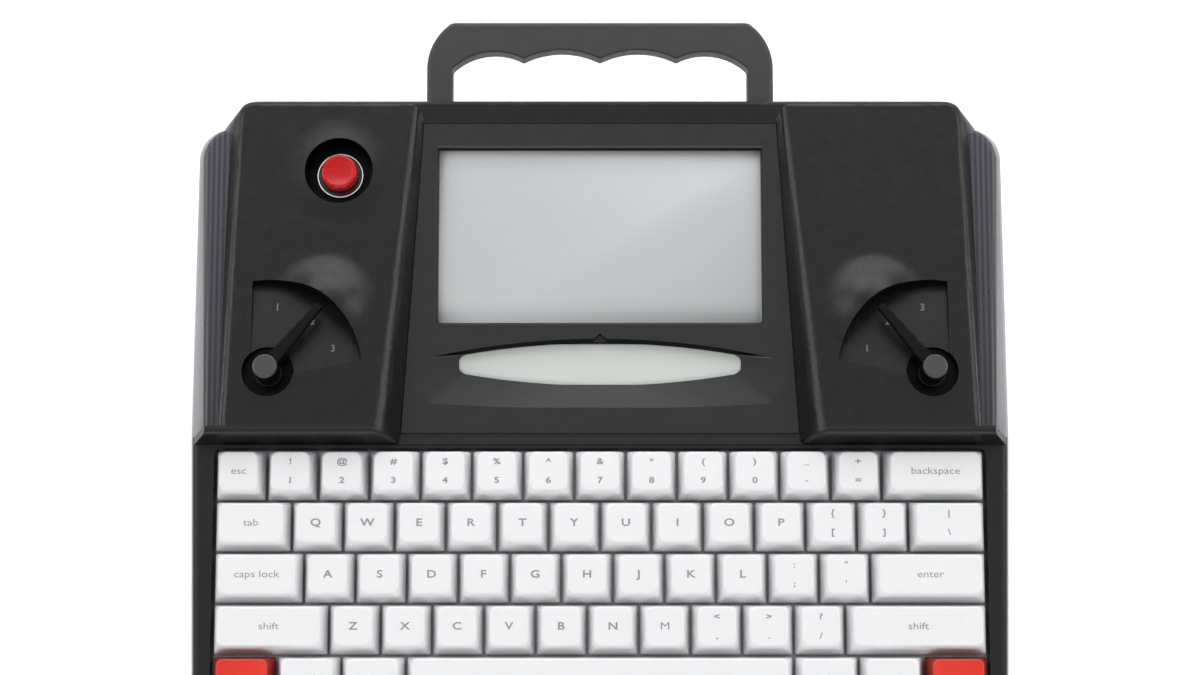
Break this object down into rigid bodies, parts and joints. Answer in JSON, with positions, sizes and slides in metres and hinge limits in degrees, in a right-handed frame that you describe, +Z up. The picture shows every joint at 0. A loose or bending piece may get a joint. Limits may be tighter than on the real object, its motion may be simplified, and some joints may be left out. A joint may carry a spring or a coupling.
{
  "type": "electronic word processor",
  "caption": "Wedge-shaped desktop word processor with a full keyboard, sunken display between raised shoulders, lever dials, push button and sliding handle.",
  "frame": {"origin": "middle of the whole object's footprint, on the surface that its feet stand on", "axes": "+X to the user's right, +Y away from the user towards the handle, +Z up"},
  "size_m": [0.306, 0.271, 0.0681],
  "materials": {
    "shell_grey": "satin light grey anodised",
    "case_black": "satin black moulded plastic",
    "base_black": "fine textured black plastic",
    "handle_black": "satin black moulded plastic",
    "inner_black": "plain moulded plastic",
    "display_grey": "matt grey electronic paper",
    "key_white": "fine textured off-white plastic",
    "key_red": "fine textured red plastic",
    "button_red": "glossy red plastic",
    "ring_chrome": "bright plated ring",
    "switch_black": "plain black nylon",
    "switch_grey": "plain dark grey nylon",
    "lever_black": "satin black enamel",
    "lever_disc": "dark turned steel",
    "steel": "plain bright steel",
    "foot_rubber": "matt black rubber",
    "board_green": "green circuit board",
    "ribbon_amber": "amber film cable",
    "battery_foil": "silver foil pouch"
  },
  "bodies": {
    "case": {"base_plate": "base_black", "base_screws": "steel", "battery_pack": "battery_foil", "battery_strap": "steel", "board_screws": "steel", "carrier_screws": "steel", "charging_socket": "steel", "cover_screws": "steel", "display_bezel": "case_black", "display_carrier": "inner_black", "display_panel": "display_grey", "display_ribbon": "ribbon_amber", "guide_screws": "steel", "handle_guide_left": "inner_black", "handle_guide_right": "inner_black", "key_switches": "switch_grey", "keyboard_board": "board_green", "keyboard_frame": "case_black", "keyboard_ribbon": "ribbon_amber", "keyboard_screws": "steel", "left_selector_switch": "switch_black", "lower_shell": "shell_grey", "main_board": "board_green", "power_switch_body": "switch_black", "power_switch_nut": "steel", "power_switch_ring": "ring_chrome", "rear_cover": "case_black", "right_selector_switch": "switch_black", "rubber_feet": "foot_rubber", "stabiliser_housings": "switch_black", "switch_plate": "steel", "wireless_module": "steel"},
    "power_button": {"power_button_cap": "button_red"},
    "left_selector": {"left_selector_lever": "lever_black", "left_lever_cap": "lever_disc", "left_selector_shaft": "steel"},
    "right_selector": {"right_selector_lever": "lever_black", "right_lever_cap": "lever_disc", "right_selector_shaft": "steel"},
    "handle": {"carry_handle": "handle_black", "handle_stop_bar": "inner_black"},
    "escape_key": {"escape_key": "key_white"},
    "backspace_key": {"backspace_key": "key_white"},
    "tab_key": {"tab_key": "key_white"},
    "backslash_key": {"backslash_key": "key_white"},
    "caps_key": {"caps_key": "key_white"},
    "enter_key": {"enter_key": "key_white"},
    "left_shift_key": {"left_shift_key": "key_white"},
    "right_shift_key": {"right_shift_key": "key_white"},
    "left_red_key": {"left_red_key": "key_red"},
    "right_red_key": {"right_red_key": "key_red"},
    "left_outer_modifier_key": {"left_outer_modifier_key": "key_white"},
    "left_inner_modifier_key": {"left_inner_modifier_key": "key_white"},
    "right_inner_modifier_key": {"right_inner_modifier_key": "key_white"},
    "right_outer_modifier_key": {"right_outer_modifier_key": "key_white"},
    "space_bar": {"space_bar": "key_white"},
    "number_bank": {"number_keys": "key_white"},
    "top_letter_bank": {"top_letter_keys": "key_white"},
    "home_letter_bank": {"home_letter_keys": "key_white"},
    "bottom_letter_bank": {"bottom_letter_keys": "key_white"}
  },
  "joints": [
    {"name": "power_button_press", "type": "slide", "parent": "case", "child": "power_button", "axis": [0, -0.0773, 0.997], "range_m": [-0.002, 0], "stiffness_N_per_m": 500, "springref_m": 0.004},
    {"name": "left_selector_turn", "type": "hinge", "parent": "case", "child": "left_selector", "pos_m": [-0.1228, -0.00664, 0.0596], "axis": [0, -0.0773, 0.997], "range_deg": [-33, 33]},
    {"name": "right_selector_turn", "type": "hinge", "parent": "case", "child": "right_selector", "pos_m": [0.1228, -0.00664, 0.0596], "axis": [0, -0.0773, 0.997], "range_deg": [-33, 33]},
    {"name": "handle_slide", "type": "slide", "parent": "case", "child": "handle", "axis": [0, 0.9863, 0.165], "range_m": [-0.025, 0]},
    {"name": "escape_press", "type": "slide", "parent": "case", "child": "escape_key", "axis": [0, -0.165, 0.9863], "range_m": [-0.0038, 0], "stiffness_N_per_m": 50, "springref_m": 0.009},
    {"name": "backspace_press", "type": "slide", "parent": "case", "child": "backspace_key", "axis": [0, -0.165, 0.9863], "range_m": [-0.0038, 0], "stiffness_N_per_m": 50, "springref_m": 0.009},
    {"name": "tab_press", "type": "slide", "parent": "case", "child": "tab_key", "axis": [0, -0.165, 0.9863], "range_m": [-0.0038, 0], "stiffness_N_per_m": 50, "springref_m": 0.009},
    {"name": "backslash_press", "type": "slide", "parent": "case", "child": "backslash_key", "axis": [0, -0.165, 0.9863], "range_m": [-0.0038, 0], "stiffness_N_per_m": 50, "springref_m": 0.009},
    {"name": "caps_press", "type": "slide", "parent": "case", "child": "caps_key", "axis": [0, -0.165, 0.9863], "range_m": [-0.0038, 0], "stiffness_N_per_m": 50, "springref_m": 0.009},
    {"name": "enter_press", "type": "slide", "parent": "case", "child": "enter_key", "axis": [0, -0.165, 0.9863], "range_m": [-0.0038, 0], "stiffness_N_per_m": 50, "springref_m": 0.009},
    {"name": "left_shift_press", "type": "slide", "parent": "case", "child": "left_shift_key", "axis": [0, -0.165, 0.9863], "range_m": [-0.0038, 0], "stiffness_N_per_m": 50, "springref_m": 0.009},
    {"name": "right_shift_press", "type": "slide", "parent": "case", "child": "right_shift_key", "axis": [0, -0.165, 0.9863], "range_m": [-0.0038, 0], "stiffness_N_per_m": 50, "springref_m": 0.009},
    {"name": "left_red_press", "type": "slide", "parent": "case", "child": "left_red_key", "axis": [0, -0.165, 0.9863], "range_m": [-0.0038, 0], "stiffness_N_per_m": 50, "springref_m": 0.009},
    {"name": "right_red_press", "type": "slide", "parent": "case", "child": "right_red_key", "axis": [0, -0.165, 0.9863], "range_m": [-0.0038, 0], "stiffness_N_per_m": 50, "springref_m": 0.009},
    {"name": "left_outer_modifier_press", "type": "slide", "parent": "case", "child": "left_outer_modifier_key", "axis": [0, -0.165, 0.9863], "range_m": [-0.0038, 0], "stiffness_N_per_m": 50, "springref_m": 0.009},
    {"name": "left_inner_modifier_press", "type": "slide", "parent": "case", "child": "left_inner_modifier_key", "axis": [0, -0.165, 0.9863], "range_m": [-0.0038, 0], "stiffness_N_per_m": 50, "springref_m": 0.009},
    {"name": "right_inner_modifier_press", "type": "slide", "parent": "case", "child": "right_inner_modifier_key", "axis": [0, -0.165, 0.9863], "range_m": [-0.0038, 0], "stiffness_N_per_m": 50, "springref_m": 0.009},
    {"name": "right_outer_modifier_press", "type": "slide", "parent": "case", "child": "right_outer_modifier_key", "axis": [0, -0.165, 0.9863], "range_m": [-0.0038, 0], "stiffness_N_per_m": 50, "springref_m": 0.009},
    {"name": "space_bar_press", "type": "slide", "parent": "case", "child": "space_bar", "axis": [0, -0.165, 0.9863], "range_m": [-0.0038, 0], "stiffness_N_per_m": 50, "springref_m": 0.009},
    {"name": "number_bank_press", "type": "slide", "parent": "case", "child": "number_bank", "axis": [0, -0.165, 0.9863], "range_m": [-0.0038, 0], "stiffness_N_per_m": 600, "springref_m": 0.009},
    {"name": "top_letter_bank_press", "type": "slide", "parent": "case", "child": "top_letter_bank", "axis": [0, -0.165, 0.9863], "range_m": [-0.0038, 0], "stiffness_N_per_m": 600, "springref_m": 0.009},
    {"name": "home_letter_bank_press", "type": "slide", "parent": "case", "child": "home_letter_bank", "axis": [0, -0.165, 0.9863], "range_m": [-0.0038, 0], "stiffness_N_per_m": 550, "springref_m": 0.009},
    {"name": "bottom_letter_bank_press", "type": "slide", "parent": "case", "child": "bottom_letter_bank", "axis": [0, -0.165, 0.9863], "range_m": [-0.0038, 0], "stiffness_N_per_m": 500, "springref_m": 0.009}
  ]
}
